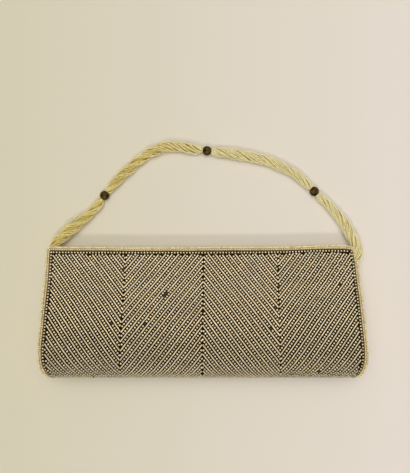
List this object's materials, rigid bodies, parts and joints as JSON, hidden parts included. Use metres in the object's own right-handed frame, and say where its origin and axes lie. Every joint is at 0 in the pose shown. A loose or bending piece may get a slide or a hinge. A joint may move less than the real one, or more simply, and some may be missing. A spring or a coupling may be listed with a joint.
{
  "type": "baguette bag",
  "caption": "Slim rectangular evening bag covered in small beads, with a magnetic snap mouth, folding gussets and a twisted bead rope handle; shown lying on its back.",
  "frame": {"origin": "under the middle of the bag's body, on the surface that it lies on", "axes": "+X across the bag to its right as seen from the front, +Y from the base to the mouth, +Z out of the front"},
  "size_m": [0.2527, 0.1839, 0.0384],
  "materials": {
    "beaded_cloth": "cloth sewn all over with glass seed beads in a herringbone of cream on near-black",
    "cream_beads": "rows of opaque cream glass seed beads",
    "board": "plain grey-beige stiffening board",
    "lining_satin": "champagne satin",
    "gusset_cloth": "cloth sewn with cream seed beads",
    "patch_leather": "thin tan leather",
    "snap_metal": "pale gilt, polished",
    "rope_beads": "strands of small opaque cream glass beads, twisted together",
    "whipping_thread": "wound cream thread",
    "dark_bead": "polished dark brown glass"
  },
  "bodies": {
    "root": {"rear_beaded_cover": "beaded_cloth", "rear_top_binding": "cream_beads", "rear_side_binding_left": "cream_beads", "rear_side_binding_right": "cream_beads", "back_board": "board", "base_board": "board", "rear_lining": "lining_satin", "gusset_left": "gusset_cloth", "gusset_right": "gusset_cloth", "gusset_lining_left": "lining_satin", "gusset_lining_right": "lining_satin", "pocket_panel": "lining_satin", "pocket_hem": "lining_satin", "snap_socket": "snap_metal", "snap_socket_patch": "patch_leather"},
    "front": {"front_beaded_cover": "beaded_cloth", "front_top_binding": "cream_beads", "front_side_binding_left": "cream_beads", "front_side_binding_right": "cream_beads", "front_board": "board", "front_lining": "lining_satin", "snap_stud": "snap_metal", "snap_stud_patch": "patch_leather", "handle_rope_end_left": "rope_beads", "handle_rope_end_right": "rope_beads", "handle_whipping_left": "whipping_thread", "handle_whipping_right": "whipping_thread"},
    "handle": {"handle_rope": "rope_beads", "accent_bead_left": "dark_bead", "accent_bead_middle": "dark_bead", "accent_bead_right": "dark_bead"}
  },
  "joints": [
    {"name": "front_opening", "type": "hinge", "parent": "root", "child": "front", "pos_m": [0, -0.05, 0.02441], "axis": [1, 0, 0], "range_deg": [0, 12], "deforming": ["gusset_left", "gusset_right", "gusset_lining_left", "gusset_lining_right"]},
    {"name": "handle_swing", "type": "hinge", "parent": "front", "child": "handle", "pos_m": [0, 0.056, 0.015], "axis": [1, 0, 0], "range_deg": [0, 170]}
  ]
}
